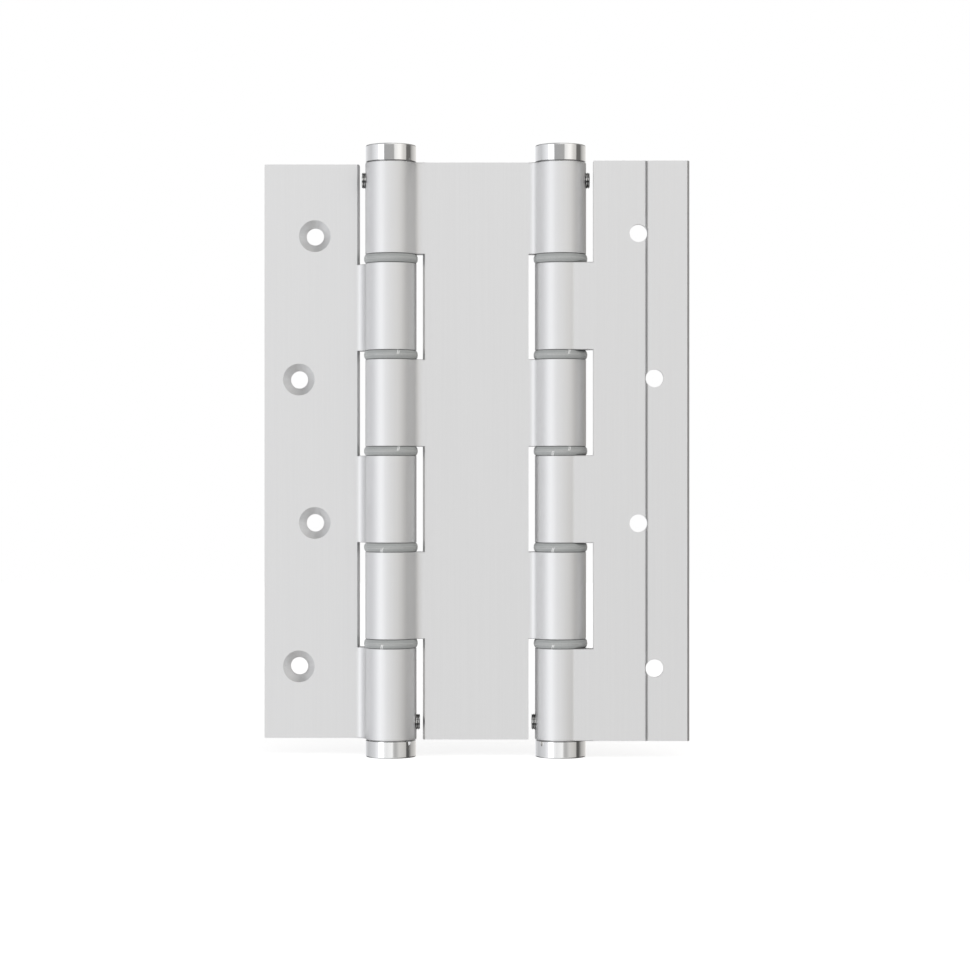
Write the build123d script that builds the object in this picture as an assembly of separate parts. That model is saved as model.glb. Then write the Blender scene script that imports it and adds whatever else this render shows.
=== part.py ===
from build123d import *
from math import cos, radians, sin
import os

# A double action spring hinge, laid out flat: frame leaf, centre plate and door leaf in one row.
# Z runs up along both barrels, X runs across the three plates, and -Y is the side that faces the viewer.
# The origin is the middle of the centre plate at mid height. All sizes are in millimetres.

# Plates
plate_height = 180.0
plate_thickness = 4.0
leaf_reach = 39.8
axis_spacing = 53.0
plate_corner_radius = 0.3
edge_chamfer = 0.7

# How the closed hinge stacks: centre plate, gap, leaf, and the mounting face just inside the barrel
fold_gap = 1.1
mounting_face_set_back = 0.9

# Knuckles
knuckle_count = 6
knuckle_wall = 2.0
knuckle_chamfer = 0.2
ring_gap = 2.8
recess_clearance = 2.0
neck_radius = 3.0
mounting_neck_radius = 1.5

# Screw holes in the leaves
screw_rows = 4
screw_end_distance = 22.5
screw_edge_distance = 13.3
screw_stagger = 2.5
screw_hole_radius = 2.75
countersink_radius = 5.0
centre_line_width = 1.05
centre_line_depth = 0.7

# Split flanged bushes
running_clearance = 0.05
press_clearance = 0.02
bush_wall = 0.93
bush_length = 6.0
flange_gap = 0.04
flange_stand_out = 0.42
flange_root_inset = 0.35
flange_facets = 3
slit_width = 0.12
slit_angle = 20.0
slit_slant = 20.0

# Hinge tube
tube_wall = 1.0

# Tension plugs
head_inset = 0.1
head_height = 5.1
head_rounding = 0.4
shadow_gap = 0.35
shadow_depth = 0.9
shank_length = 16.0
spigot_length = 8.0
hex_key_size = 6.0
hex_key_depth = 4.0

# Set screws
set_screw_radius = 2.5
set_screw_length = 5.0
set_screw_stand_out = 1.05
set_screw_inset = 5.45
set_screw_chamfer = 0.25
set_screw_point = 1.1
set_screw_key_size = 2.5
set_screw_key_depth = 2.2
lock_groove_clearance = 0.2

# Torsion springs
wire_size = 1.3
spring_turns = 12
spring_side_clearance = 0.35
spring_end_clearance = 1.0
tang_length = 4.0
tang_clearance = 0.1

# Places worked out from the sizes above
half_height = plate_height / 2
half_thickness = plate_thickness / 2
frame_axis = -axis_spacing / 2
door_axis = axis_spacing / 2
knuckle_pitch = plate_height / knuckle_count
screw_face = half_thickness + fold_gap
mounting_face = screw_face + plate_thickness
barrel_radius = mounting_face + mounting_face_set_back
bore_radius = barrel_radius - knuckle_wall
recess_edge = barrel_radius + recess_clearance
neck_reach = recess_edge + neck_radius + edge_chamfer
screw_line = leaf_reach - screw_edge_distance
screw_pitch = (plate_height - 2 * screw_end_distance) / (screw_rows - 1)
bush_radius = bore_radius - press_clearance
bush_bore_radius = bush_radius - bush_wall
flange_thickness = (ring_gap - flange_gap) / 2
tube_radius = bush_bore_radius - running_clearance
tube_bore_radius = tube_radius - tube_wall
shank_end = half_height - shank_length
tube_end = shank_end - running_clearance
spigot_end = shank_end - spigot_length
set_screw_height = half_height - set_screw_inset
set_screw_tip = barrel_radius + set_screw_stand_out - set_screw_length
spring_radius = tube_bore_radius - spring_side_clearance - wire_size / 2
spring_end = spigot_end - spring_end_clearance
tang_end = spring_end + tang_length

# Bushes whose slit faces the viewer; the slits of the others face away
FRONT_SLITS = {
    "frame": ("2_upper", "3_upper", "4_lower", "5_lower"),
    "door": ("2_upper", "3_upper", "3_lower", "4_lower", "5_lower"),
}


def knuckle_span(number):
    """Lowest and highest point of a knuckle, counted from the top."""
    top = half_height - (number - 1) * knuckle_pitch
    bottom = top - knuckle_pitch
    if number > 1:
        top -= ring_gap / 2
    if number < knuckle_count:
        bottom += ring_gap / 2
    return bottom, top


def between(face, bottom, top):
    """A flat face at height zero pulled up into a solid from bottom to top."""
    return Pos(0, 0, bottom) * extrude(face, amount=top - bottom)


def corner_at(face, x, y):
    """The corner of the face nearest to x, y."""
    return face.vertices().sort_by_distance((x, y, 0))[0]


def rounded(face, x, y, radius):
    return fillet(corner_at(face, x, y), radius)


def broken(face, x, y):
    """The face with one corner cut off, as the long edges of the plates are."""
    return chamfer(corner_at(face, x, y), edge_chamfer)


def rectangle(x_low, x_high, y_low, y_high):
    return Pos((x_low + x_high) / 2, (y_low + y_high) / 2) * Rectangle(x_high - x_low, y_high - y_low)


def corner_cut(x, z, inward_x, inward_z):
    """What a plate loses where one of its outer corners is rounded, as a bar along Y."""
    r = plate_corner_radius
    square = Pos(x, z) * Rectangle(2 * r, 2 * r)
    disc = Pos(x + inward_x * r, z + inward_z * r) * Circle(r)
    quarter = Pos(x + inward_x * r, z + inward_z * r) * Rectangle(2 * r, 2 * r)
    spandrel = square & quarter
    spandrel -= disc
    return extrude(Plane.XZ * spandrel, amount=2 * barrel_radius, both=True)


def knuckle(profile, number):
    """One knuckle with its neck, with the edges of both end faces broken."""
    solid = between(profile, *knuckle_span(number))
    return chamfer(solid.edges().filter_by(Plane.XY), knuckle_chamfer)


def pin_bore(axis_x):
    return Pos(axis_x, 0, 0) * Cylinder(bore_radius, 2 * plate_height)


def set_screw_hole(axis_x, height, direction):
    """A round hole from the middle of the bore out through one side of a knuckle."""
    length = 2 * barrel_radius
    hole = Rot(0, 90, 0) * Cylinder(set_screw_radius + running_clearance, length)
    return Pos(axis_x + direction * length / 2, 0, height) * hole


def screw_hole(row):
    """A countersunk hole, staggered towards the barrel in every other row."""
    height = half_height - screw_end_distance - row * screw_pitch
    stagger = screw_stagger if row % 2 == 0 else -screw_stagger
    depth = countersink_radius - screw_hole_radius
    sink = Pos(0, depth / 2, 0) * Rot(90, 0, 0) * Cone(screw_hole_radius, countersink_radius, depth)
    through = Rot(90, 0, 0) * Cylinder(screw_hole_radius, 4 * plate_thickness)
    return Pos(-screw_line + stagger, screw_face, height) * (sink + through)


def leaf():
    """Frame leaf about its own barrel axis: plate towards -X, mounting face on +Y."""
    plate = rectangle(-leaf_reach, -recess_edge, screw_face, mounting_face)
    plate = broken(plate, -leaf_reach, mounting_face)
    plate = broken(plate, -recess_edge, screw_face)
    centre_line = Polyline(
        (-screw_line - centre_line_width / 2, mounting_face),
        (-screw_line, mounting_face - centre_line_depth),
        (-screw_line + centre_line_width / 2, mounting_face),
        close=True,
    )
    body = between(plate - make_face(centre_line), -half_height, half_height)

    profile = Circle(barrel_radius) + rectangle(-neck_reach, 0, screw_face, mounting_face)
    profile = rounded(profile, -barrel_radius, screw_face, neck_radius)
    profile = rounded(profile, -barrel_radius / 2, mounting_face, mounting_neck_radius)
    for number in range(2, knuckle_count + 1, 2):
        body += knuckle(profile, number)
    body -= pin_bore(0)
    for row in range(screw_rows):
        body -= screw_hole(row)
    body -= set_screw_hole(0, -set_screw_height, 1)
    body -= corner_cut(-leaf_reach, half_height, 1, -1)
    body -= corner_cut(-leaf_reach, -half_height, 1, 1)
    body -= corner_cut(-recess_edge, half_height, -1, -1)
    return body


def centre_plate():
    """Middle plate with the odd knuckles of both barrels."""
    left_edge = frame_axis + recess_edge
    right_edge = door_axis - recess_edge
    plate = rectangle(left_edge, right_edge, -half_thickness, half_thickness)
    plate = broken(plate, left_edge, -half_thickness)
    plate = broken(plate, right_edge, half_thickness)
    body = between(plate, -half_height, half_height)

    neck = Circle(barrel_radius) + rectangle(0, neck_reach, -half_thickness, half_thickness)
    neck = rounded(neck, barrel_radius, half_thickness, neck_radius)
    neck = rounded(neck, barrel_radius, -half_thickness, neck_radius)
    for profile in (Pos(frame_axis, 0) * neck, Pos(door_axis, 0) * Rot(0, 0, 180) * neck):
        for number in range(1, knuckle_count, 2):
            body += knuckle(profile, number)
    body -= pin_bore(frame_axis)
    body -= pin_bore(door_axis)
    body -= set_screw_hole(frame_axis, set_screw_height, -1)
    body -= set_screw_hole(door_axis, set_screw_height, 1)
    body -= corner_cut(left_edge, -half_height, 1, 1)
    body -= corner_cut(right_edge, -half_height, -1, 1)
    return body


def flange_rim():
    """A quarter oval in short cones: two flanges face to face make one rounded ring."""
    root = barrel_radius - flange_root_inset
    bulge = flange_root_inset + flange_stand_out
    points = []
    for step in range(flange_facets + 1):
        angle = radians(90 * step / flange_facets)
        points.append((root + bulge * sin(angle), flange_thickness * (1 - cos(angle))))
    return points


def bush(turn):
    """A split bush: its flange rests on a knuckle end at height zero and its sleeve hangs below."""
    section = Polyline(
        (bush_bore_radius, -bush_length),
        (bush_radius, -bush_length),
        (bush_radius, 0),
        *flange_rim(),
        (bush_bore_radius, flange_thickness),
        close=True,
    )
    ring = revolve(Plane.XZ * make_face(section), Axis.Z)
    cutter = Box(slit_width, 2 * barrel_radius, 4 * bush_length)
    slit = Pos(0, -barrel_radius, 0) * Rot(0, slit_slant, 0) * cutter
    return ring - Rot(0, 0, turn) * slit


def hinge_tube():
    """The steel pin tube that all the bushes of a barrel run on."""
    return Cylinder(tube_radius, 2 * tube_end) - Cylinder(tube_bore_radius, 2 * tube_end)


def tension_plug():
    """The top plug of a barrel: chrome head, shank with a lock groove, and a slotted spigot."""
    shank_radius = bore_radius - running_clearance
    spigot_radius = tube_bore_radius - running_clearance
    groove_radius = set_screw_tip - running_clearance
    groove_half = set_screw_radius + lock_groove_clearance
    shadow_radius = barrel_radius - shadow_depth
    head_radius = barrel_radius - head_inset
    head_bottom = half_height + shadow_gap
    head_top = head_bottom + head_height
    section = Polyline(
        (0, spigot_end),
        (spigot_radius, spigot_end),
        (spigot_radius, shank_end),
        (shank_radius, shank_end),
        (shank_radius, set_screw_height - groove_half),
        (groove_radius, set_screw_height - groove_half),
        (groove_radius, set_screw_height + groove_half),
        (shank_radius, set_screw_height + groove_half),
        (shank_radius, half_height),
        (shadow_radius, half_height),
        (shadow_radius, head_bottom),
        (head_radius, head_bottom),
        (head_radius, head_top),
        (0, head_top),
        close=True,
    )
    plug = revolve(Plane.XZ * make_face(section), Axis.Z)
    rim = plug.edges().filter_by(GeomType.CIRCLE).group_by(Axis.Z)[-1]
    plug = fillet(rim, head_rounding)
    hexagon = RegularPolygon(hex_key_size / 2, 6, major_radius=False)
    plug -= between(hexagon, head_top - hex_key_depth, 2 * head_top)
    slot_width = wire_size + 2 * tang_clearance
    slot_depth = tang_end + tang_clearance - spigot_end
    return plug - Pos(0, 0, spigot_end) * Box(4 * spigot_radius, slot_width, 2 * slot_depth)


def set_screw():
    """A socket set screw along X, from its tip near the barrel axis to its socket end outside."""
    end = set_screw_tip + set_screw_length
    section = Polyline(
        (set_screw_tip, 0),
        (set_screw_tip, set_screw_radius - set_screw_point),
        (set_screw_tip + set_screw_point, set_screw_radius),
        (end - set_screw_chamfer, set_screw_radius),
        (end, set_screw_radius - set_screw_chamfer),
        (end, 0),
        close=True,
    )
    screw = revolve(make_face(section), Axis.X)
    hexagon = Plane.YZ * RegularPolygon(set_screw_key_size / 2, 6, major_radius=False)
    return screw - Pos(end - set_screw_key_depth, 0, 0) * extrude(hexagon, amount=set_screw_length)


def torsion_spring():
    """A square wire spring along the tube, with a tang across each end."""
    height = 2 * spring_end
    path = Helix(pitch=height / spring_turns, height=height, radius=spring_radius)
    start = Plane(origin=path @ 0, z_dir=path % 0, x_dir=(1, 0, 0))
    coil = sweep(start * Rectangle(wire_size, wire_size), path=path, is_frenet=True)
    spring = Pos(0, 0, -spring_end) * coil
    tang_start = spring_end - wire_size / 2
    tang = Box(2 * spring_radius + wire_size, wire_size, tang_end - tang_start)
    for side in (1, -1):
        spring += Pos(0, 0, side * (tang_start + tang_end) / 2) * tang
    return spring


def save(part, name):
    solids = part.solids()
    export_step(solids[0] if len(solids) == 1 else Compound(solids), f"parts/{name}.step")


def ring_bushes(side, axis_x):
    """The two bushes of each ring, one in the knuckle above it and one in the knuckle below."""
    for ring in range(1, knuckle_count):
        middle = half_height - ring * knuckle_pitch
        for half, above in (("upper", 1), ("lower", -1)):
            turn = above * slit_angle
            if f"{ring}_{half}" not in FRONT_SLITS[side]:
                turn += 180
            piece = Rot(180, 0, 0) * bush(180 - turn) if above > 0 else bush(turn)
            save(Pos(axis_x, 0, middle + above * ring_gap / 2) * piece, f"{side}_bush_{ring}_{half}")


def barrel_inside(side, place):
    """Tube, spring, plugs and set screws. The centre plate holds the top plug, the leaf the bottom one."""
    save(place * hinge_tube(), f"{side}_hinge_tube")
    save(place * torsion_spring(), f"{side}_torsion_spring")
    screw = Pos(0, 0, set_screw_height) * set_screw()
    save(place * tension_plug(), f"{side}_top_tension_plug")
    save(place * Rot(0, 0, 180) * screw, f"{side}_top_set_screw")
    save(place * Rot(180, 0, 0) * tension_plug(), f"{side}_bottom_tension_plug")
    save(place * Rot(180, 0, 0) * screw, f"{side}_bottom_set_screw")


os.makedirs("parts", exist_ok=True)
save(centre_plate(), "centre_plate")
frame_place = Pos(frame_axis, 0, 0)
door_place = Pos(door_axis, 0, 0) * Rot(0, 0, 180)
for side, place, axis_x in (("frame", frame_place, frame_axis), ("door", door_place, door_axis)):
    save(place * leaf(), f"{side}_leaf")
    ring_bushes(side, axis_x)
    barrel_inside(side, place)
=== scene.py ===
# %% [markdown]
# # A double action spring hinge, dressed for its photograph
#
# The hinge lies flat and is seen straight on. From left to right it is a frame leaf with its
# countersinks in view, a sprung barrel, a centre plate, a second barrel and a door leaf that shows
# its plain mounting side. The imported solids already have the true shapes, so most of the work here
# is camera, light and finish. The threaded set screws beside the barrels and the springs inside
# them are the pieces that are modelled here.

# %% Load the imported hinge
import math
import bpy
from mathutils import Matrix, Vector


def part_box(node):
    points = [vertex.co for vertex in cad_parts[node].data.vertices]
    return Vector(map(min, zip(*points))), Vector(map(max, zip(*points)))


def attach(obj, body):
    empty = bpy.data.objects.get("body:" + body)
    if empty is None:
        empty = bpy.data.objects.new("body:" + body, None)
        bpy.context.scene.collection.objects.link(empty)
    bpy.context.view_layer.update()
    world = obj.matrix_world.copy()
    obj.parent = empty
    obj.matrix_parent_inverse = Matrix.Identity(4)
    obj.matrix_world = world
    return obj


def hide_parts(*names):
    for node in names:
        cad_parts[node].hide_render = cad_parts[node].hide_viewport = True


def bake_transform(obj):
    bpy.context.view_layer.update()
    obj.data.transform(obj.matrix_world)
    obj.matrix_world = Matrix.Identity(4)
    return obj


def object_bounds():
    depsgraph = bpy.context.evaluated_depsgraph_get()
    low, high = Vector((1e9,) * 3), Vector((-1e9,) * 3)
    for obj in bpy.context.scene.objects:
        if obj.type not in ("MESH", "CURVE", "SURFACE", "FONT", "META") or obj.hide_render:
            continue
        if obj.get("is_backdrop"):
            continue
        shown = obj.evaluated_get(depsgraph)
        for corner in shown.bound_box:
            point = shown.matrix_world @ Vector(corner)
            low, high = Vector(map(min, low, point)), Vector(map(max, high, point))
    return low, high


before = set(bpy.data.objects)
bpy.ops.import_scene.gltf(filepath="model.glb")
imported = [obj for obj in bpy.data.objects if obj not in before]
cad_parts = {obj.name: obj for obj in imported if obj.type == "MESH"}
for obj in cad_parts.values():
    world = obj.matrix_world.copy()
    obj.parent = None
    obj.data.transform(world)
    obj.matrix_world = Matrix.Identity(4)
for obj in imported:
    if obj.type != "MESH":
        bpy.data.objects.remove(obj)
cad_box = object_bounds()

MM = 0.001
low, high = cad_box
width_mm, depth_mm, height_mm = (high - low) / MM
print(f"hinge {width_mm:.1f} x {depth_mm:.1f} x {height_mm:.1f} mm in {len(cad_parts)} nodes")

# %% [markdown]
# ## Camera
#
# The photograph looks straight at the plates. The barrels hide a little more of one side than of
# the other and the caps show a curved rim, so the camera was near. A 100 mm lens at 0.84 m gives
# the same curves, and a small move to the side and down gives the same framing without any shift.

# %% Camera
camera_data = bpy.data.cameras.new("photo_camera")
camera_data.lens = 100
camera_data.sensor_width = 36
camera = bpy.data.objects.new("photo_camera", camera_data)
camera.location = Vector((2.9, -843.3, -10.75)) * MM
camera.rotation_euler = (math.radians(90), 0, 0)
bpy.context.scene.collection.objects.link(camera)
bpy.context.scene.camera = camera
bpy.context.scene.view_settings.view_transform = "Standard"
print("camera at", [round(value, 4) for value in camera.location])

# %% [markdown]
# ## Short words for node trees
#
# Light and finishes are built from shader nodes. A few small helpers keep that readable: one puts a
# node in a tree and fills its sockets, and the others calculate, make a soft step, mix two colours
# or run through a row of colours. A value may be a number, which is set on the node, or another
# node's output, which is linked.

# %% Helpers that put nodes in a tree


def put(tree, kind, *values, **settings):
    """A new node of the given kind, with its first sockets filled in their own order."""
    node = tree.nodes.new(kind)
    for setting, choice in settings.items():
        setattr(node, setting, choice)
    for socket, value in zip(node.inputs, values):
        fill(tree, socket, value)
    return node


def fill(tree, socket, value):
    if isinstance(value, bpy.types.NodeSocket):
        tree.links.new(value, socket)
    elif value is not None:
        socket.default_value = value


def calculate(tree, operation, *values):
    return put(tree, "ShaderNodeMath", *values, operation=operation).outputs[0]


def soft_step(tree, value, start, end):
    """Runs smoothly from 0 at start to 1 at end."""
    node = put(tree, "ShaderNodeMapRange", value, start, end, interpolation_type="SMOOTHSTEP")
    return node.outputs["Result"]


def mix_colours(tree, amount, colour, other):
    """Colour where amount is 0, other where it is 1."""
    node = put(tree, "ShaderNodeMix", data_type="RGBA")
    fill(tree, node.inputs[0], amount)
    for socket, value in ((node.inputs[6], colour), (node.inputs[7], other)):
        fill(tree, socket, (*value, 1) if isinstance(value, tuple) else value)
    return node.outputs[2]


def ramp(tree, value, stops):
    """Runs through a row of colours. Each stop is a place from 0 to 1 and the colour there."""
    node = put(tree, "ShaderNodeValToRGB", value)
    marks = node.color_ramp.elements
    while len(marks) < len(stops):
        marks.new(0.5)
    for mark, (place, colour) in zip(marks, stops):
        mark.position = place
        mark.color = (*colour, 1)
    return node.outputs["Color"]


# %% [markdown]
# ## The light tent
#
# Bright metal has hardly any colour of its own: it shows what stands around it. The caps in the
# photograph are small round mirrors, so they tell what the studio looked like at eye level. Going
# round from the camera they show a grey gap where the camera stands, a bright panel on each side
# of it, a dark card at the right, and a pale backdrop behind. The lower caps look a little down
# and see no camera, but a grey card beside it.
#
# A world shader can hold all of that, because a world's Generated coordinate is the direction
# that is looked in. So the tent is a few rows of cloth, one above the other, and each row is a
# colour ramp round the compass.

# %% Direction, compass and height
world = bpy.data.worlds.new("light_tent")
bpy.context.scene.world = world
world.use_nodes = True
sky = world.node_tree
sky.nodes.clear()

direction = put(sky, "ShaderNodeTexCoord").outputs["Generated"]
right, back, up = put(sky, "ShaderNodeSeparateXYZ", direction).outputs
compass = calculate(sky, "ARCTAN2", right, calculate(sky, "MULTIPLY", back, -1))
full_turn = calculate(sky, "DIVIDE", compass, 2 * math.pi)
round_the_compass = calculate(sky, "ADD", full_turn, 0.5)


def compass_ramp(stops):
    """Colours round the compass. Each stop is degrees round from the camera, to the right, and a colour."""
    return ramp(sky, round_the_compass, [(degrees / 360 + 0.5, colour) for degrees, colour in stops])


def cloth(stops):
    """A row of the tent, in greys."""
    return compass_ramp([(degrees, (grey, grey, grey)) for degrees, grey in stops])


def above(start, end, lower, upper):
    """The lower colour up to a height of start degrees, and the upper one from end degrees on."""
    low_edge, high_edge = math.sin(math.radians(start)), math.sin(math.radians(end))
    return mix_colours(sky, soft_step(sky, up, low_edge, high_edge), lower, upper)


# %% [markdown]
# ## Rows at eye level
#
# The two rows at eye level follow what the upper and the lower caps show: bright panels, the grey
# gap or card in front, the dark card at the right and the pale cloth behind. Each level was worked
# out from how bright the caps are in the photograph, and rounded.

# %% Rows at eye level
JUST_ABOVE_EYE_LEVEL = (
    (-180, 1.00), (-120, 0.65), (-100, 0.60), (-60, 0.95), (-31, 1.00), (-28, 0.40), (15, 0.40), (18, 0.80),
    (36, 1.00), (46, 1.00), (60, 0.70), (74, 0.60), (77, 0.15), (101, 0.15), (106, 0.35), (120, 0.55),
    (180, 1.00),
)
JUST_BELOW_EYE_LEVEL = (
    (-180, 1.00), (-140, 0.65), (-120, 0.55), (-80, 0.70), (-60, 0.95), (-34, 1.00), (-20, 0.85), (8, 0.95),
    (15, 0.50), (24, 0.45), (40, 0.65), (60, 0.60), (74, 0.50), (77, 0.10), (90, 0.10), (108, 0.45),
    (140, 0.65), (180, 1.00),
)
eye_level = above(-1.5, 1.5, cloth(JUST_BELOW_EYE_LEVEL), cloth(JUST_ABOVE_EYE_LEVEL))

# %% [markdown]
# ## Rows above and below, ceiling and low cloth
#
# Satin metal looks in a wide circle round each direction, so the barrels also show the rows above
# and below eye level, and the countersinks, which are cones, show the ceiling and the low cloth.
# The barrels are bright at the left of their middle, turn grey towards both sides and are darkest
# at the right, so these rows hang mostly in front and at the left. Their levels, and those of the
# ceiling and the low cloth, come from a least squares fit to how bright the barrels and
# countersinks are in the photograph. They were then rounded.

# %% Rows above and below
HIGH_ROW = (
    (-180, 0.40), (-140, 0.10), (-100, 0.65), (-65, 0.70), (-35, 0.65), (-5, 1.20), (25, 1.00), (55, 1.00),
    (90, 0.15), (135, 0.30), (180, 0.40),
)
LOW_ROW = (
    (-180, 0.40), (-140, 0.10), (-100, 0.65), (-65, 1.00), (-35, 0.85), (-5, 0.90), (25, 0.65), (55, 0.30),
    (90, 0.05), (135, 0.05), (180, 0.40),
)
CEILING = ((-180, 0.18), (-15, 0.18), (15, 0.50), (180, 0.50))
LOW_CLOTH = ((-180, 0.47), (-15, 0.47), (15, 0.25), (180, 0.25))
EYE_BAND_ENDS, ROWS_START = 8, 10
ROWS_END, CEILING_STARTS = 46, 58
tent = above(-ROWS_START, -EYE_BAND_ENDS, cloth(LOW_ROW), eye_level)
tent = above(EYE_BAND_ENDS, ROWS_START, tent, cloth(HIGH_ROW))
tent = above(-CEILING_STARTS, -ROWS_END, cloth(LOW_CLOTH), tent)
tent = above(ROWS_END, CEILING_STARTS, tent, cloth(CEILING))

# %% [markdown]
# ## Cool daylight and warm lamps
#
# The photograph is a little bluish on the left of each barrel and a little warm on the right, as
# where daylight comes from one side and lamps from the other. One more ramp tints the whole tent.

# %% Tint of the tent
WHITE = (1.0, 1.0, 1.0)
COOL = (0.965, 0.972, 1.0)
WARM = (1.0, 0.98, 0.95)
tinted = put(sky, "ShaderNodeMix", 1.0, data_type="RGBA", blend_type="MULTIPLY")
fill(sky, tinted.inputs[6], tent)
fill(sky, tinted.inputs[7], compass_ramp(((-60, COOL), (0, WHITE), (60, WARM))))
tent = tinted.outputs[2]
print("the tent has six rows of cloth")

# %% [markdown]
# ## White background
#
# The photograph's background is plain white. Camera rays get white from the world, and so do
# mirror and glass rays that look towards the backdrop behind the hinge. Light on the object still
# comes from the tent alone.

# %% White for camera rays, and behind the hinge for mirror and glass rays
BACKDROP_SIDE = math.radians(165)
SIDE_SOFTNESS = 0.15
BACKDROP_TOP = math.sin(math.radians(12))
TOP_SOFTNESS = 0.05
rays = put(sky, "ShaderNodeLightPath")
mirrored = calculate(sky, "MAXIMUM", rays.outputs["Is Glossy Ray"], rays.outputs["Is Transmission Ray"])
behind = soft_step(sky, calculate(sky, "ABSOLUTE", compass), BACKDROP_SIDE, BACKDROP_SIDE + SIDE_SOFTNESS)
level = soft_step(sky, calculate(sky, "ABSOLUTE", up), BACKDROP_TOP, BACKDROP_TOP - TOP_SOFTNESS)
sees_white = calculate(sky, "MULTIPLY", calculate(sky, "MULTIPLY", mirrored, behind), level)
sees_white = calculate(sky, "MAXIMUM", sees_white, rays.outputs["Is Camera Ray"])
glow = put(sky, "ShaderNodeBackground", mix_colours(sky, sees_white, tent, WHITE))
put(sky, "ShaderNodeOutputWorld", glow.outputs[0])
print("world nodes:", len(sky.nodes))

# %% [markdown]
# ## Key panel
#
# The broad highlight left of the middle of each barrel comes from a panel at the left of the
# camera. An area lamp does this well: it is soft, and polished metal shows it as a clean white
# band. The tent fills in the rest, so no second lamp is needed.

# %% Key panel
KEY_COMPASS = math.radians(-45)
KEY_DISTANCE = 1.2
KEY_WIDTH, KEY_HEIGHT = 0.56, 1.3
KEY_POWER = 1.25
KEY_COLOUR = (0.98, 0.99, 1.0)

panel = bpy.data.lights.new("key_panel", "AREA")
panel.shape = "RECTANGLE"
panel.size = KEY_WIDTH
panel.size_y = KEY_HEIGHT
panel.energy = KEY_POWER
panel.color = KEY_COLOUR
key = bpy.data.objects.new("key_panel", panel)
towards_key = Vector((math.sin(KEY_COMPASS), -math.cos(KEY_COMPASS), 0))
key.location = towards_key * KEY_DISTANCE
key.rotation_euler = towards_key.to_track_quat("Z", "Y").to_euler()
bpy.context.scene.collection.objects.link(key)
print(key.name, "at", [round(value, 2) for value in key.location])

# %% [markdown]
# ## Floor
#
# The hinge stands on a plain white floor at the foot of its caps. Some white is added to it for
# camera, mirror and glass rays, so it runs into the white background, while the soft shadow under
# the hinge stays in the part that is lit.
#
# In the photograph the lower caps show the same tent as the upper ones, and the barrels are as
# bright at the bottom as at the top: the real hinge lay on its back under the camera, with light
# from all round. So the floor takes the shadow of the hinge but neither stops the light from below
# nor shows up as a mirror image in the metal.

# %% Floor
FLOOR_SIZE = 3.0
FLOOR_GAP = 0.02 * MM
FLOOR_PAINT = 0.9
FLOOR_GLOW = 0.64

bpy.ops.object.select_all(action="DESELECT")
bpy.ops.mesh.primitive_plane_add(size=FLOOR_SIZE, location=(0, 0, low.z - FLOOR_GAP))
floor = bpy.context.object
floor.name = "studio_floor"
floor_paint = bpy.data.materials.new("studio_floor")
floor_paint.use_nodes = True
tree = floor_paint.node_tree
paint = tree.nodes["Principled BSDF"]
paint.inputs["Base Color"].default_value = (FLOOR_PAINT, FLOOR_PAINT, FLOOR_PAINT, 1)
paint.inputs["Roughness"].default_value = 0.9
paint.inputs["Specular IOR Level"].default_value = 0.0
rays = put(tree, "ShaderNodeLightPath")
mirrored = calculate(tree, "MAXIMUM", rays.outputs["Is Glossy Ray"], rays.outputs["Is Transmission Ray"])
looked_at = calculate(tree, "MAXIMUM", mirrored, rays.outputs["Is Camera Ray"])
glow = put(tree, "ShaderNodeEmission", None, calculate(tree, "MULTIPLY", looked_at, FLOOR_GLOW))
both = put(tree, "ShaderNodeAddShader", paint.outputs[0], glow.outputs[0])
tree.links.new(both.outputs[0], tree.nodes["Material Output"].inputs["Surface"])
floor.data.materials.append(floor_paint)
floor.visible_glossy = False
floor.visible_diffuse = False
floor.visible_shadow = False
floor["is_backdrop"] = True
print("floor at", round(floor.location.z, 5))

# %% [markdown]
# ## Effects that the finishes share
#
# Each effect is a node group of its own with named inputs and outputs, so a finish is put together
# from a few named parts. All of them read Object coordinates, turned into millimetres, so a pattern
# stays on its piece when the hinge swings.

# %% Helpers for effects


def effect(name, inputs, outputs):
    """A node group. Inputs and outputs give each socket's kind. Gives back its tree, start and end."""
    tree = bpy.data.node_groups.new(name, "ShaderNodeTree")
    for way, sockets in (("INPUT", inputs), ("OUTPUT", outputs)):
        for title, kind in sockets.items():
            tree.interface.new_socket(title, in_out=way, socket_type="NodeSocket" + kind)
    return tree, tree.nodes.new("NodeGroupInput").outputs, tree.nodes.new("NodeGroupOutput").inputs


def use(tree, group, **values):
    """The group's outputs, in a node whose inputs have the given values."""
    node = put(tree, "ShaderNodeGroup", node_tree=group)
    for title, value in values.items():
        fill(tree, node.inputs[title], value)
    return node.outputs


def millimetres(tree):
    place = put(tree, "ShaderNodeTexCoord").outputs["Object"]
    return put(tree, "ShaderNodeVectorMath", place, None, None, 1 / MM, operation="SCALE").outputs[0]


def noise(tree, place, stretch, detail=2.0):
    """Soft noise between 0 and 1. Stretch is how many spots there are in a millimetre, on each axis."""
    place = put(tree, "ShaderNodeMapping", place, None, None, stretch).outputs[0]
    return put(tree, "ShaderNodeTexNoise", place, None, 1.0, detail).outputs[0]


def noise_line(tree, value, per_mm, detail=2.0):
    """Noise along one line, for marks that all run the same way."""
    value = calculate(tree, "MULTIPLY", value, per_mm)
    return put(tree, "ShaderNodeTexNoise", None, value, 1.0, detail, noise_dimensions="1D").outputs[0]


# %% [markdown]
# ### Painted edge highlights and painted corner shade
#
# These masks paint a highlight along the outer edges of a part and shade in its inner corners. A
# Bevel node rounds the normals near an edge, so where it turns them away from the true normal there
# is an edge. An Ambient Occlusion node tells how shut in a spot is, which finds grooves, junctions
# and holes.

# %% Edge and corner effects


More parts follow.
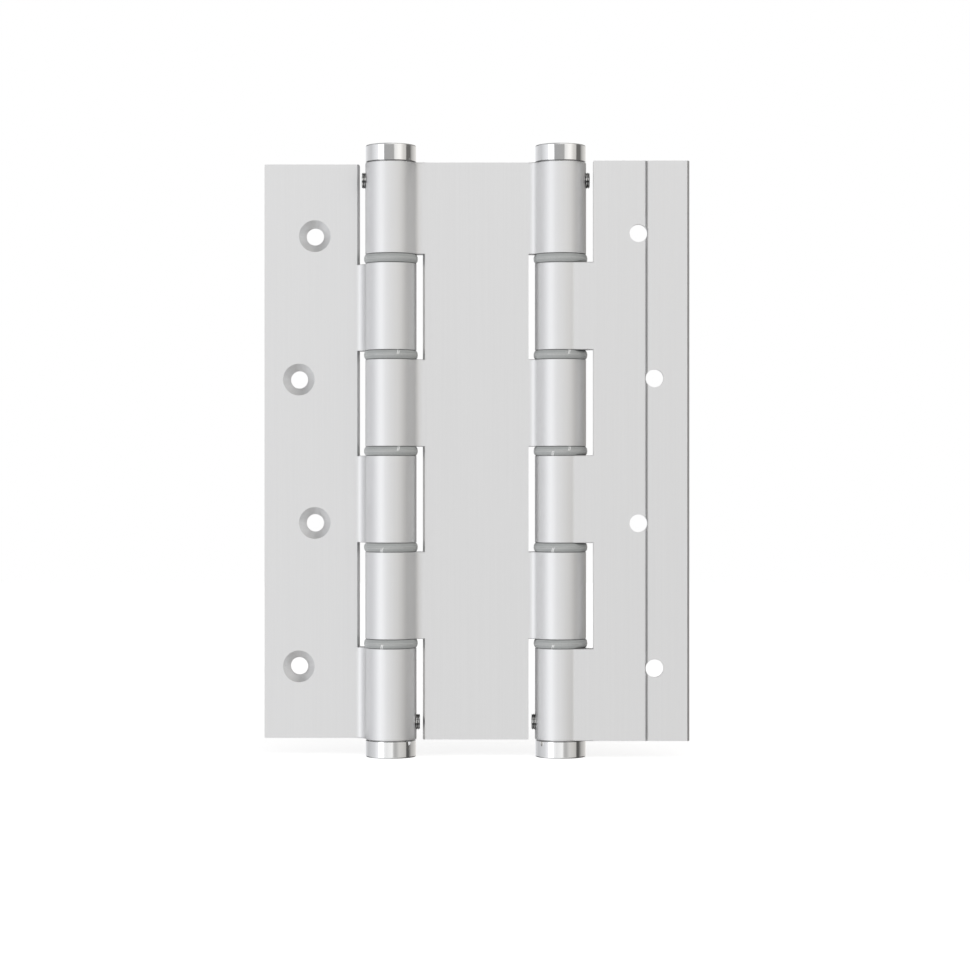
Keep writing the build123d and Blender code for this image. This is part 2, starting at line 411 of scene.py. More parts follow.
def worn_edges():
    tree, given, end = effect("worn_edges", {"Width": "Float"}, {"Edge": "Float"})
    # Mask for a painted highlight along the edges, in patches.
    turned = put(tree, "ShaderNodeBevel", given["Width"], samples=4).outputs[0]
    true = put(tree, "ShaderNodeNewGeometry").outputs["Normal"]
    same = put(tree, "ShaderNodeVectorMath", turned, true, operation="DOT_PRODUCT").outputs["Value"]
    patchy = calculate(tree, "MULTIPLY_ADD", noise(tree, millimetres(tree), (0.9, 0.9, 0.9)), 0.5, 0.75)
    edge = calculate(tree, "MULTIPLY", soft_step(tree, same, 0.99, 0.90), patchy)
    tree.links.new(edge, end["Edge"])
    return tree


def dull_corners():
    tree, given, end = effect("dull_corners", {"Reach": "Float"}, {"Corner": "Float"})
    # Mask for painted shade where a spot is shut in: corners, grooves, junctions and holes.
    open_part = put(tree, "ShaderNodeAmbientOcclusion", None, given["Reach"], samples=8).outputs["AO"]
    tree.links.new(soft_step(tree, open_part, 0.80, 0.15), end["Corner"])
    return tree


PAINTED_EDGE_HIGHLIGHT = worn_edges()
PAINTED_CORNER_SHADE = dull_corners()
print("effects:", PAINTED_EDGE_HIGHLIGHT.name, PAINTED_CORNER_SHADE.name)

# %% [markdown]
# ### Marks of how the aluminium was made
#
# The leaves and the centre plate are extruded, so fine lines run along Z where the die dragged. The
# extrusion is then cut to length and the knuckles are milled, so faces that look up or down carry
# slightly curved saw marks. The countersinks are turned, so rings run round them.

# %% Extrusion lines, saw marks and countersink rings
SAW_CENTRE = (40.0, -160.0)
HOLE_PITCH = 45.0
HOLE_COLUMN = 53.0
HOLE_STAGGER = 2.5
COUNTERSINK_RADIUS = 5.0


def extrusion_lines():
    tree, _, end = effect("extrusion_lines", {}, {"Lines": "Float", "Grain": "Float"})
    place = millimetres(tree)
    tree.links.new(noise(tree, place, (2.2, 2.2, 0.02), 3.0), end["Lines"])
    tree.links.new(noise(tree, place, (7.0, 7.0, 5.0), 2.0), end["Grain"])
    return tree


def saw_marks():
    tree, _, end = effect("saw_marks", {}, {"Cut": "Float", "Marks": "Float"})
    normal = put(tree, "ShaderNodeTexCoord").outputs["Normal"]
    facing = calculate(tree, "ABSOLUTE", put(tree, "ShaderNodeSeparateXYZ", normal).outputs["Z"])
    tree.links.new(soft_step(tree, facing, 0.90, 0.98), end["Cut"])
    centre = (-SAW_CENTRE[0], -SAW_CENTRE[1], 0)
    from_centre = put(tree, "ShaderNodeVectorMath", millimetres(tree), centre, operation="ADD").outputs[0]
    flat = put(tree, "ShaderNodeVectorMath", from_centre, (1, 1, 0), operation="MULTIPLY").outputs[0]
    distance = put(tree, "ShaderNodeVectorMath", flat, operation="LENGTH").outputs["Value"]
    tree.links.new(noise_line(tree, distance, 3.5, 3.0), end["Marks"])
    return tree


def countersink_rings():
    """The holes come every pitch along Z, and every other one lies nearer to the barrel."""
    tree, _, end = effect("countersink_rings", {}, {"Sunk": "Float", "Rings": "Float"})
    x, _, z = put(tree, "ShaderNodeSeparateXYZ", millimetres(tree)).outputs
    row = calculate(tree, "DIVIDE", calculate(tree, "ADD", z, 2 * HOLE_PITCH), HOLE_PITCH)
    odd = calculate(tree, "MODULO", calculate(tree, "FLOOR", row), 2.0)
    column = calculate(tree, "MULTIPLY_ADD", odd, -2 * HOLE_STAGGER, HOLE_COLUMN + HOLE_STAGGER)
    aside = calculate(tree, "SUBTRACT", calculate(tree, "ABSOLUTE", x), column)
    along = calculate(tree, "SUBTRACT", calculate(tree, "FRACT", row), 0.5)
    along = calculate(tree, "MULTIPLY", along, HOLE_PITCH)
    from_hole = put(tree, "ShaderNodeCombineXYZ", aside, along, 0.0).outputs[0]
    radius = put(tree, "ShaderNodeVectorMath", from_hole, operation="LENGTH").outputs["Value"]
    normal = put(tree, "ShaderNodeTexCoord").outputs["Normal"]
    facing = calculate(tree, "ABSOLUTE", put(tree, "ShaderNodeSeparateXYZ", normal).outputs["Y"])
    tilted, not_a_wall = soft_step(tree, facing, 0.92, 0.82), soft_step(tree, facing, 0.3, 0.5)
    inside = soft_step(tree, radius, COUNTERSINK_RADIUS + 0.2, COUNTERSINK_RADIUS + 0.05)
    sloping = calculate(tree, "MULTIPLY", tilted, not_a_wall)
    tree.links.new(calculate(tree, "MULTIPLY", sloping, inside), end["Sunk"])
    tree.links.new(noise_line(tree, radius, 4.0, 2.0), end["Rings"])
    return tree


EXTRUSION_LINES = extrusion_lines()
SAW_MARKS = saw_marks()
COUNTERSINK_RINGS = countersink_rings()
print("effects:", EXTRUSION_LINES.name, SAW_MARKS.name, COUNTERSINK_RINGS.name)

# %% [markdown]
# ## Satin aluminium
#
# The extruded parts are satin anodised: pale, even, a little dull, with a broad soft highlight. So
# it is plain metal with a middling roughness. The colour is nearly even, a touch darker along the
# extrusion lines, with painted shade in the corners and a patchy painted highlight on the edges.
# The oxide film dulls what is seen at a flat angle, as the flanks of the barrels show, and the
# specular tint does that here.

# %% Helpers for finishes


def finish_material(name, metallic, roughness):
    """A material with its fixed values set on the shader. Gives back the material, tree and shader."""
    material = bpy.data.materials.new(name)
    material.use_nodes = True
    shader = material.node_tree.nodes["Principled BSDF"]
    shader.inputs["Metallic"].default_value = metallic
    shader.inputs["Roughness"].default_value = roughness
    return material, material.node_tree, shader


def vary(tree, base, *effects):
    """A base number plus each effect times its amount."""
    total = base
    for value, amount in effects:
        total = calculate(tree, "MULTIPLY_ADD", value, amount, total)
    return total


def relief(tree, shader, height_mm, height):
    """Small ups and downs of the surface, as a bump."""
    node = put(tree, "ShaderNodeBump")
    node.inputs["Distance"].default_value = height_mm * MM
    tree.links.new(height, node.inputs["Height"])
    tree.links.new(node.outputs[0], shader.inputs["Normal"])


def dress(slot_name, material):
    """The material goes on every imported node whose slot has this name."""
    dressed = 0
    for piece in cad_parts.values():
        if piece.data.materials[0].name.startswith(slot_name):
            piece.material_slots[0].material = material
            dressed += 1
    print(f"{slot_name}: {dressed} nodes")


# %% Satin aluminium
EDGE_WIDTH = 0.22 * MM
CORNER_REACH = 1.1 * MM
ALUMINIUM = (0.875, 0.875, 0.875)
ALUMINIUM_LINE = (0.84, 0.84, 0.84)
ALUMINIUM_CUT = (0.80, 0.80, 0.80)
# Painted shade for the corners.
ALUMINIUM_PAINTED_CORNER_SHADE = (0.34, 0.34, 0.34)
# Painted highlight for the edges.
ALUMINIUM_PAINTED_EDGE_HIGHLIGHT = (0.97, 0.97, 0.97)
FLAT_ANGLE = 0.60

satin, tree, shader = finish_material("satin_aluminium", 1.0, 0.5)
shader.inputs["Specular Tint"].default_value = (FLAT_ANGLE, FLAT_ANGLE, FLAT_ANGLE, 1)
lines = use(tree, EXTRUSION_LINES)
saw = use(tree, SAW_MARKS)
sink = use(tree, COUNTERSINK_RINGS)
edge = use(tree, PAINTED_EDGE_HIGHLIGHT, Width=EDGE_WIDTH)["Edge"]
corner = use(tree, PAINTED_CORNER_SHADE, Reach=CORNER_REACH)["Corner"]
colour = mix_colours(tree, lines["Lines"], ALUMINIUM, ALUMINIUM_LINE)
colour = mix_colours(tree, saw["Cut"], colour, ALUMINIUM_CUT)
# Painted shade in the corners, then a painted highlight on the edges.
colour = mix_colours(tree, corner, colour, ALUMINIUM_PAINTED_CORNER_SHADE)
colour = mix_colours(tree, edge, colour, ALUMINIUM_PAINTED_EDGE_HIGHLIGHT)
tree.links.new(colour, shader.inputs["Base Color"])
rough = vary(tree, 0.45, (lines["Grain"], 0.06), (saw["Cut"], -0.08), (sink["Sunk"], -0.10), (edge, -0.10))
tree.links.new(rough, shader.inputs["Roughness"])
lines_height = vary(tree, 0.0, (lines["Lines"], 0.5), (lines["Grain"], 0.25))
saw_height = calculate(tree, "MULTIPLY", saw["Marks"], saw["Cut"])
ring_height = calculate(tree, "MULTIPLY", sink["Rings"], sink["Sunk"])
relief(tree, shader, 0.012, vary(tree, lines_height, (saw_height, 2.0), (ring_height, 3.0)))
dress("satin_aluminium", satin)

# %% [markdown]
# ## Grey bush plastic
#
# The bushes are moulded in a glass filled grey plastic with a slight green cast. It has a sharper
# gloss than the satin metal, faint flow marks, a fine moulded grain, painted shade in its corners
# and a painted highlight on its edges, which shows as a paler band where two bushes meet. Each bush
# is split, and the lips of the split get a painted white highlight.
#
# The split slants, so its plane is measured from the two walls that face each other across it. A
# ring has an upper and a lower bush, each with its split in front or behind. So there are four
# kinds of bush. Each kind gets its own mask, worked out from the middle of the ring, and shares
# everything else with the others.

# %% Grey bush plastic
BUSH_GREY = (0.450, 0.465, 0.460)
BUSH_FLOW = (0.415, 0.430, 0.425)
# Painted highlight for the edges.
BUSH_PAINTED_EDGE_HIGHLIGHT = (0.64, 0.65, 0.64)
BUSH_EDGE_WIDTH = 0.80 * MM
# Painted shade for the corners.
BUSH_PAINTED_CORNER_SHADE = (0.12, 0.125, 0.125)
# Painted highlight for the lips of the split.
BUSH_PAINTED_LIP_HIGHLIGHT = (0.97, 0.98, 0.97)
BARREL_AXIS = 26.5
RING_PITCH = 30.0


def split_plane(piece):
    """A point and a direction of the plane of a bush's split, from the middle of its ring."""
    near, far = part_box(piece.name)
    ring = round((near.z + far.z) / 2 / MM / RING_PITCH)
    middle = Vector((math.copysign(BARREL_AXIS, near.x), 0, RING_PITCH * ring))
    point, across, area = Vector(), Vector(), 0.0
    for face in piece.data.polygons:
        place = face.center / MM - middle
        outward = Vector((place.x, place.y, 0)).normalized()
        if abs(face.normal.dot(outward)) < 0.1 and abs(face.normal.z) < 0.9:
            point += place * face.area
            across += face.normal * math.copysign(face.area, face.normal.x)
            area += face.area
    return point / area, across.normalized()


def split_lips():
    """1 beside the split, which runs through the point and lies square to the direction across."""
    # Mask for a painted highlight on the lips of the split.
    given_kinds = {"Point": "Vector", "Across": "Vector", "Side": "Float", "Width": "Float"}
    tree, given, end = effect("split_lips", given_kinds, {"Lips": "Float"})
    place = millimetres(tree)
    x, y, z = put(tree, "ShaderNodeSeparateXYZ", place).outputs
    barrel = calculate(tree, "MULTIPLY", calculate(tree, "SIGN", x), BARREL_AXIS)
    ring = calculate(tree, "ROUND", calculate(tree, "DIVIDE", z, RING_PITCH))
    middle = put(tree, "ShaderNodeCombineXYZ", barrel, 0.0, calculate(tree, "MULTIPLY", ring, RING_PITCH))
    place = put(tree, "ShaderNodeVectorMath", place, middle.outputs[0], operation="SUBTRACT").outputs[0]
    place = put(tree, "ShaderNodeVectorMath", place, given["Point"], operation="SUBTRACT").outputs[0]
    distance = put(tree, "ShaderNodeVectorMath", place, given["Across"], operation="DOT_PRODUCT")
    distance = calculate(tree, "ABSOLUTE", distance.outputs["Value"])
    inner = calculate(tree, "MULTIPLY", given["Width"], 0.75)
    lips = soft_step(tree, distance, given["Width"], inner)
    same_side = soft_step(tree, calculate(tree, "MULTIPLY", y, given["Side"]), 0.0, 1.0)
    patchy = soft_step(tree, noise(tree, millimetres(tree), (1.3, 1.3, 1.3)), 0.34, 0.46)
    lips = calculate(tree, "MULTIPLY", calculate(tree, "MULTIPLY", lips, patchy), same_side)
    tree.links.new(lips, end["Lips"])
    return tree


PAINTED_LIP_HIGHLIGHT = split_lips()
print("effect:", PAINTED_LIP_HIGHLIGHT.name)

# %% A grey plastic for each kind of bush
LIP_WIDTH = 0.40


def bush_plastic(kind, point, across):
    material, tree, shader = finish_material("bush_plastic_" + kind, 0.0, 0.32)
    place = millimetres(tree)
    flow = noise(tree, place, (0.5, 0.5, 0.9), 3.0)
    grain = noise(tree, place, (9.0, 9.0, 9.0), 2.0)
    corner = use(tree, PAINTED_CORNER_SHADE, Reach=CORNER_REACH)["Corner"]
    side = math.copysign(1, point.y)
    lips = use(tree, PAINTED_LIP_HIGHLIGHT, Point=point, Across=across, Side=side, Width=LIP_WIDTH)["Lips"]
    edge = use(tree, PAINTED_EDGE_HIGHLIGHT, Width=BUSH_EDGE_WIDTH)["Edge"]
    colour = mix_colours(tree, flow, BUSH_GREY, BUSH_FLOW)
    # Painted highlight on the edges, then painted shade in the corners.
    colour = mix_colours(tree, edge, colour, BUSH_PAINTED_EDGE_HIGHLIGHT)
    colour = mix_colours(tree, corner, colour, BUSH_PAINTED_CORNER_SHADE)
    # Painted highlight on the lips of the split.
    colour = mix_colours(tree, lips, colour, BUSH_PAINTED_LIP_HIGHLIGHT)
    tree.links.new(colour, shader.inputs["Base Color"])
    rough = vary(tree, 0.26, (flow, 0.06), (grain, 0.06), (corner, 0.2), (lips, 0.3))
    tree.links.new(rough, shader.inputs["Roughness"])
    relief(tree, shader, 0.006, vary(tree, 0.0, (grain, 0.6), (flow, 0.4)))
    return material


kinds = {}
for name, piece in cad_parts.items():
    if "_bush_" in name:
        point, across = split_plane(piece)
        kind = name.split("_")[-1] + ("_front" if point.y < 0 else "_back")
        if kind not in kinds:
            kinds[kind] = bush_plastic(kind, point, across)
            print(kind, "bushes are split at", [round(value, 2) for value in point])
        piece.material_slots[0].material = kinds[kind]

# %% [markdown]
# ## Chrome
#
# The tension caps are turned, polished and plated. Good chrome is an almost perfect mirror, and what
# gives it away is a faint waviness from polishing and finger marks that blur a reflection without
# changing its colour. The groove where a cap meets its knuckle gets a painted shade.

# %% Chrome
CHROME = (0.93, 0.93, 0.925)
# Painted shade for the groove at the foot of each cap.
CHROME_PAINTED_GROOVE_SHADE = (0.30, 0.30, 0.30)
CAP_FOOT, CAP_MIDDLE = 91.0, 93.0

chrome, tree, shader = finish_material("chrome", 1.0, 0.06)
place = millimetres(tree)
wave = noise(tree, place, (0.25, 0.25, 0.5), 1.0)
finger = noise(tree, place, (0.35, 0.35, 0.35), 4.0)
smudge = soft_step(tree, finger, 0.50, 0.75)
height = calculate(tree, "ABSOLUTE", put(tree, "ShaderNodeSeparateXYZ", place).outputs["Z"])
corner = use(tree, PAINTED_CORNER_SHADE, Reach=CORNER_REACH)["Corner"]
# Painted shade, kept to the groove at the foot of each cap.
corner = calculate(tree, "MULTIPLY", corner, soft_step(tree, height, CAP_MIDDLE, CAP_FOOT))
tree.links.new(mix_colours(tree, corner, CHROME, CHROME_PAINTED_GROOVE_SHADE), shader.inputs["Base Color"])
tree.links.new(vary(tree, 0.045, (smudge, 0.10), (corner, 0.15)), shader.inputs["Roughness"])
relief(tree, shader, 0.02, wave)
dress("chrome", chrome)

# %% [markdown]
# ## Steel inside the barrels
#
# The hinge tubes are ground bright, which leaves fine marks round them. The springs are oiled and
# dark, with oil that lies in patches. Neither shows in the photograph, but both can be seen when
# the hinge is taken apart.

# %% Ground tube steel and oiled spring steel
TUBE_BRIGHT = (0.74, 0.74, 0.75)
TUBE_MARK = (0.62, 0.62, 0.63)
SPRING_DRY = (0.27, 0.27, 0.29)
SPRING_OILED = (0.16, 0.155, 0.15)

tube, tree, shader = finish_material("tube_steel", 1.0, 0.25)
z = put(tree, "ShaderNodeSeparateXYZ", millimetres(tree)).outputs["Z"]
marks = noise_line(tree, z, 5.0, 3.0)
tree.links.new(mix_colours(tree, marks, TUBE_BRIGHT, TUBE_MARK), shader.inputs["Base Color"])
tree.links.new(vary(tree, 0.18, (marks, 0.14)), shader.inputs["Roughness"])
relief(tree, shader, 0.006, marks)
dress("tube_steel", tube)

spring, tree, shader = finish_material("spring_steel", 1.0, 0.4)
oil = soft_step(tree, noise(tree, millimetres(tree), (0.3, 0.3, 0.3), 3.0), 0.40, 0.65)
grain = noise(tree, millimetres(tree), (6.0, 6.0, 6.0), 2.0)
tree.links.new(mix_colours(tree, oil, SPRING_DRY, SPRING_OILED), shader.inputs["Base Color"])
tree.links.new(vary(tree, 0.45, (oil, -0.25), (grain, 0.1)), shader.inputs["Roughness"])
relief(tree, shader, 0.008, grain)
dress("spring_steel", spring)

# %% [markdown]
# ## Black set screws
#
# The set screws are blackened steel. The crests of the thread are pale in patches where driving the
# screws in and out has taken the black off, and pale in painted glints, bands that run along the
# screw, while the valleys get a painted shade. How far a point is from the axis of its screw tells
# whether it is on a crest, and its height beside the axis tells which band it is in. The screws lie
# along X, all at one distance above or below the middle of the hinge.

# %% Black screw steel
THREAD_RADIUS = 2.5
THREAD_DEPTH = 0.27
SCREW_BLACK = (0.05, 0.05, 0.052)
# Pale crests: partly bare metal where the black has come off, partly painted glints.
SCREW_WEAR_AND_GLINT = (0.97, 0.97, 0.96)
# Painted shade for the thread's valleys.
SCREW_PAINTED_VALLEY_SHADE = (0.06, 0.06, 0.06)
# Bands of painted glint by height beside the screw's axis.
PAINTED_GLINT_BANDS = (
    (-2.4, 0.1), (-2.0, 0.4), (-1.4, 1.0), (-1.0, 0.6), (-0.7, 0.0), (-0.4, 0.0), (-0.1, 1.0), (0.4, 1.0),
    (0.7, 0.4), (1.0, 0.6), (1.4, 1.0), (1.9, 0.3), (2.4, 0.1),
)
near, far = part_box("frame_top_set_screw")
SCREW_LEVEL = (near.z + far.z) / 2 / MM

black, tree, shader = finish_material("screw_steel", 1.0, 0.3)
place = millimetres(tree)
_, y, z = put(tree, "ShaderNodeSeparateXYZ", place).outputs
level = calculate(tree, "MULTIPLY_ADD", calculate(tree, "SIGN", z), -SCREW_LEVEL, z)
around = put(tree, "ShaderNodeCombineXYZ", 0.0, y, level).outputs[0]
radius = put(tree, "ShaderNodeVectorMath", around, operation="LENGTH").outputs["Value"]
crest = soft_step(tree, radius, THREAD_RADIUS - 1.0 * THREAD_DEPTH, THREAD_RADIUS - 0.7 * THREAD_DEPTH)
patches = noise(tree, place, (1.4, 1.4, 1.4), 3.0)
# Painted glint bands by height, laid on the crests, with patches of bare metal added.
stops = [(0.5 + 0.5 * height / THREAD_RADIUS, (glint, glint, glint)) for height, glint in PAINTED_GLINT_BANDS]
painted_glint_bands = ramp(tree, vary(tree, 0.5, (level, 0.5 / THREAD_RADIUS)), stops)
wear_and_glints = calculate(tree, "MULTIPLY", crest, vary(tree, painted_glint_bands, (patches, 0.2)))
# Painted shade in the thread's valleys.
corner = use(tree, PAINTED_CORNER_SHADE, Reach=0.15 * CORNER_REACH)["Corner"]
colour = mix_colours(tree, wear_and_glints, SCREW_BLACK, SCREW_WEAR_AND_GLINT)
colour = mix_colours(tree, corner, colour, SCREW_PAINTED_VALLEY_SHADE)
tree.links.new(colour, shader.inputs["Base Color"])
rough = vary(tree, 0.34, (patches, -0.10), (wear_and_glints, -0.12), (corner, 0.25))
tree.links.new(rough, shader.inputs["Roughness"])
relief(tree, shader, 0.006, patches)
dress("screw_steel", black)

# %% [markdown]
# ## Helpers for modelling
#
# The screws and the springs are both wound from one point, and each is modelled once and then copied
# to its places. So a few helpers come first. Modelling operators act on whatever is selected, which
# is why a helper picks vertices or faces by their place.

# %% Helpers for modelling


def pick(piece, wanted, kind="verts"):
    """Selects the vertices or faces that the test wants, by their middle, and nothing else."""
    bpy.ops.mesh.select_all(action="DESELECT")
    bpy.ops.object.mode_set(mode="OBJECT")
    if kind == "verts":
        middles = [(vertex, vertex.co) for vertex in piece.data.vertices]
    else:
        middles = [(face, face.center) for face in piece.data.polygons]
    for part, middle in middles:
        part.select = bool(wanted(middle / MM))
    bpy.ops.object.mode_set(mode="EDIT")


def apply_modifier(piece, kind, **settings):
    bpy.context.view_layer.objects.active = piece
    modifier = piece.modifiers.new(kind.lower(), kind)
    for setting, choice in settings.items():
        setattr(modifier, setting, choice)
    bpy.ops.object.modifier_apply(modifier=modifier.name)


def single_point(place):
    """A new piece of one vertex, in edit mode. The place is in millimetres."""
    bpy.ops.object.select_all(action="DESELECT")
    bpy.ops.mesh.primitive_plane_add(size=MM, location=place * MM)
    bpy.ops.object.transform_apply(location=True)
    bpy.ops.object.mode_set(mode="EDIT")
    bpy.ops.mesh.merge(type="CENTER")
    bpy.ops.mesh.select_mode(type="VERT")
    return bpy.context.object


def draw_on(steps):
    """Draws the picked vertices out to new ones, step by step, in millimetres."""
    for step in steps:
        bpy.ops.mesh.extrude_vertices_move(TRANSFORM_OT_translate={"value": Vector(step) * MM})


def smooth(piece, degrees):
    """Smooth shading, but for edges that are sharper than this."""
    bpy.ops.object.select_all(action="DESELECT")
    piece.select_set(True)
    bpy.context.view_layer.objects.active = piece
    bpy.ops.object.shade_smooth_by_angle(angle=math.radians(degrees))


def copy_of(pattern, name, placed, material):
    """A copy of the pattern with a mesh of its own, moved into place, in the given material."""
    piece = pattern.copy()
    piece.data = pattern.data.copy()
    piece.name = name
    piece.data.transform(placed)
    bpy.context.scene.collection.objects.link(piece)
    piece.data.materials.clear()
    piece.data.materials.append(material)
    return piece


# %% [markdown]
# ## Threaded set screws
#
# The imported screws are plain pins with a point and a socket, because a thread is fine detail. Here
# each is modelled with its thread. One turn of the thread's outline is drawn by extruding a single
# point step by step, and a Screw modifier winds it into the thread, which is how the real one is
# cut. The thread is a fine one, which doesn't shake loose. Planes then cut it to length, a blank
# with its ends already chamfered is kept of it, and a hexagon is taken out for the key.

# %% Thread wound from one turn of its outline
THREAD_PITCH = 0.5
THREAD_FLAT = 0.1
THREAD_STEPS = 36
SCREW_LENGTH = 5.0
SPARE_TURNS = 2


def wound_thread():
    """A thread along X, longer than the screw, from a single point drawn out to one turn's outline."""
    turns = round(SCREW_LENGTH / THREAD_PITCH) + 2 * SPARE_TURNS
    thread = single_point(Vector((-turns * THREAD_PITCH / 2, THREAD_RADIUS - THREAD_DEPTH, 0)))
    half_flat = (THREAD_FLAT / 2, 0, 0)
    flank = THREAD_PITCH / 2 - THREAD_FLAT
    crest_flat = (THREAD_FLAT, 0, 0)
    draw_on((half_flat, (flank, THREAD_DEPTH, 0), crest_flat, (flank, -THREAD_DEPTH, 0), half_flat))
    bpy.ops.object.mode_set(mode="OBJECT")
    apply_modifier(
        thread, "SCREW", axis="X", angle=2 * math.pi, screw_offset=THREAD_PITCH * MM, iterations=turns,
        steps=THREAD_STEPS, render_steps=THREAD_STEPS, use_merge_vertices=True, merge_threshold=1e-6,
    )
    bpy.ops.object.mode_set(mode="EDIT")
    bpy.ops.mesh.select_all(action="SELECT")
    bpy.ops.mesh.remove_doubles(threshold=1e-6)
    for side in (1, -1):
        bpy.ops.mesh.select_all(action="SELECT")
        end = Vector((side * (SCREW_LENGTH / 2 + THREAD_PITCH / 2), 0, 0)) * MM
        bpy.ops.mesh.bisect(plane_co=end, plane_no=(side, 0, 0), use_fill=True, clear_outer=True)
    bpy.ops.mesh.select_all(action="SELECT")
    bpy.ops.mesh.normals_make_consistent(inside=False)
    bpy.ops.object.mode_set(mode="OBJECT")
    print("thread wound with", len(thread.data.polygons), "faces")
    return thread


screw = wound_thread()
screw.name = "set_screw_pattern"

# %% Blank with chamfered ends, and the hexagon for the key
BLANK_RADIUS = THREAD_RADIUS + 0.05
BLANK_SIDES = 72
SOCKET_CHAMFER = 0.3
POINT_CHAMFER = 1.15
KEY_SIZE = 2.5
KEY_DEPTH = 2.2
DRILL_POINT = 0.5
SCREW_SHARP = 32


def cylinder_along_x(sides, radius, length, middle_x=0):
    """A cylinder with its axis along X, in edit mode with its faces to pick. Sizes are in millimetres."""
    bpy.ops.object.select_all(action="DESELECT")
    bpy.ops.mesh.primitive_cylinder_add(
        vertices=sides, radius=radius * MM, depth=length * MM, location=(middle_x * MM, 0, 0),
        rotation=(0, math.radians(90), 0),
    )
    bpy.ops.object.transform_apply(location=True, rotation=True)
    bpy.ops.object.mode_set(mode="EDIT")
    bpy.ops.mesh.select_mode(type="FACE")
    return bpy.context.object


def chamfered_blank():
    """A cylinder a little wider than the thread, with its socket end at +X and a blunt point at -X."""
    blank = cylinder_along_x(BLANK_SIDES, BLANK_RADIUS, SCREW_LENGTH)
    for end, cut in ((SCREW_LENGTH / 2, SOCKET_CHAMFER), (-SCREW_LENGTH / 2, POINT_CHAMFER)):
        pick(blank, lambda middle: abs(middle.x - end) < 0.01, "faces")
        bpy.ops.mesh.bevel(offset=cut * MM, affect="EDGES")
    bpy.ops.object.mode_set(mode="OBJECT")
    return blank


def key_hexagon():
    """A hexagon as deep as the socket, with the cone that the drill leaves at its bottom."""
    corner_radius = KEY_SIZE / 2 / math.cos(math.radians(30))
    hexagon = cylinder_along_x(6, corner_radius, 2 * KEY_DEPTH, SCREW_LENGTH / 2)
    pick(hexagon, lambda middle: middle.x < SCREW_LENGTH / 2 - KEY_DEPTH + 0.01, "faces")
    bpy.ops.mesh.extrude_region_move(TRANSFORM_OT_translate={"value": (-DRILL_POINT * MM, 0, 0)})
    bpy.ops.transform.resize(value=(1, 0.05, 0.05))
    bpy.ops.object.mode_set(mode="OBJECT")
    return hexagon


for tool, operation in ((chamfered_blank(), "INTERSECT"), (key_hexagon(), "DIFFERENCE")):
    apply_modifier(screw, "BOOLEAN", object=tool, operation=operation, solver="EXACT")
    bpy.data.objects.remove(tool)
smooth(screw, SCREW_SHARP)
sizes = [round(side / MM, 2) for side in screw.dimensions]
print("screw pattern has", len(screw.data.polygons), "faces, size", sizes)
assert abs(sizes[0] - SCREW_LENGTH) < 0.01, "the cuts left less than the whole screw"

# %% [markdown]
# ## A screw in each end knuckle
#
# The pattern points its socket towards +X. Each packed screw's box tells where it sits, and the
# side of the barrel that it stands on tells which way it looks.

# %% Place the four screws
for side, axis_x in (("frame", -BARREL_AXIS), ("door", BARREL_AXIS)):
    for level in ("top", "bottom"):
        node = f"{side}_{level}_set_screw"
        near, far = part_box(node)
        middle = (near + far) / 2
        turned = Matrix.Rotation(math.pi if middle.x < axis_x * MM else 0, 4, "Z")
        piece = copy_of(screw, f"threaded_{node}", Matrix.Translation(middle) @ turned, black)
        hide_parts(node)
        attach(piece, node)
        print(piece.name, "at", [round(value / MM, 2) for value in middle])
bpy.data.objects.remove(screw)

# %% [markdown]
# ## Torsion springs
#
# Each spring is one round wire wound inside its tube, with both ends bent up and across into the
# slots of the plugs. A round outline could be swept along a drawn path, but a Screw modifier winds a
# single point into an even helix, as a coiling machine does with its wire, and the two legs are then
# drawn out from its ends. Bevelled corners are the bends, and the line turns into wire when it gets
# its thickness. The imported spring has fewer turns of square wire.

# %% Wind one spring
WIRE = 1.3
SPRING_TURNS = 44
TURN_STEPS = 20
LEG_RISE = 3.35
WIRE_BEND = 0.9
BEND_STEPS = 5
WIRE_SHARP = 60

near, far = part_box("frame_torsion_spring")
COIL_RADIUS = ((far.x - near.x) / MM - WIRE) / 2
COIL_END = far.z / MM - WIRE / 2 - LEG_RISE


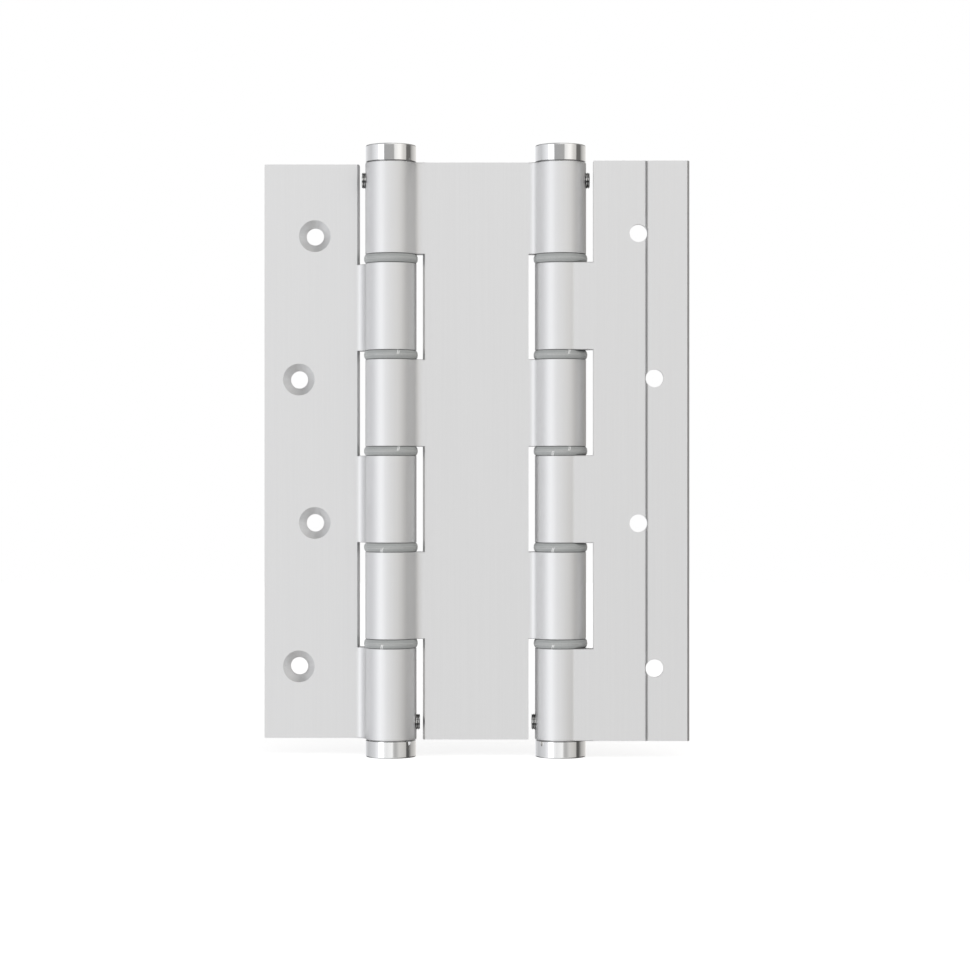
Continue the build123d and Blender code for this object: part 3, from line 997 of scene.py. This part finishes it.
def wound_wire():
    """The line of the wire: a helix about Z with a leg at each end that rises and crosses the coil."""
    wire = single_point(Vector((COIL_RADIUS, 0, -COIL_END)))
    bpy.ops.object.mode_set(mode="OBJECT")
    apply_modifier(
        wire, "SCREW", axis="Z", angle=2 * math.pi, screw_offset=2 * COIL_END / SPRING_TURNS * MM,
        iterations=SPRING_TURNS, steps=TURN_STEPS, render_steps=TURN_STEPS,
    )
    bpy.ops.object.mode_set(mode="EDIT")
    for side in (1, -1):
        pick(wire, lambda point: abs(point.z - side * COIL_END) < 0.01)
        draw_on(((0, 0, side * LEG_RISE), (-2 * COIL_RADIUS - WIRE / 2, 0, 0)))
    pick(wire, lambda point: point.x > COIL_RADIUS - 0.01 and abs(point.z) > COIL_END - 0.01)
    bpy.ops.mesh.bevel(offset=WIRE_BEND * MM, affect="VERTICES", segments=BEND_STEPS)
    bpy.ops.object.mode_set(mode="OBJECT")
    print("the wire's line has", len(wire.data.vertices), "points")
    return wire


wound_wire()
bpy.ops.object.convert(target="CURVE")
line = bpy.context.object.data
line.bevel_depth = WIRE / 2 * MM
line.bevel_resolution = 2
line.use_fill_caps = True
bpy.ops.object.convert(target="MESH")
coil = bpy.context.object
coil.name = "spring_pattern"
bpy.ops.object.mode_set(mode="EDIT")
bpy.ops.mesh.select_all(action="SELECT")
bpy.ops.mesh.remove_doubles(threshold=1e-6)
bpy.ops.mesh.normals_make_consistent(inside=False)
bpy.ops.object.mode_set(mode="OBJECT")
smooth(coil, WIRE_SHARP)
sizes = [round(side / MM, 2) for side in coil.dimensions]
print("spring pattern has", len(coil.data.polygons), "faces, size", sizes)

# %% [markdown]
# ## A spring in each barrel
#
# The plug at the bottom is held by the leaf and the one at the top by the centre plate. In the real
# hinge the lower leg turns with the leaf, the upper one with the centre plate, and the wire between
# them winds up. Here each spring is only put in its barrel and stays as it is.

# %% Place the two springs
for side in ("frame", "door"):
    near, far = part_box(f"{side}_torsion_spring")
    middle = (near + far) / 2
    piece = copy_of(coil, f"wound_{side}_spring", Matrix.Translation(middle), spring)
    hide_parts(f"{side}_torsion_spring")
    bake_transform(piece)
    print(piece.name, "at", [round(value / MM, 2) for value in middle])
bpy.data.objects.remove(coil)

# %% Finish
visual_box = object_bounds()
sizes = {"cad": [list(corner) for corner in cad_box], "visual": [list(corner) for corner in visual_box]}
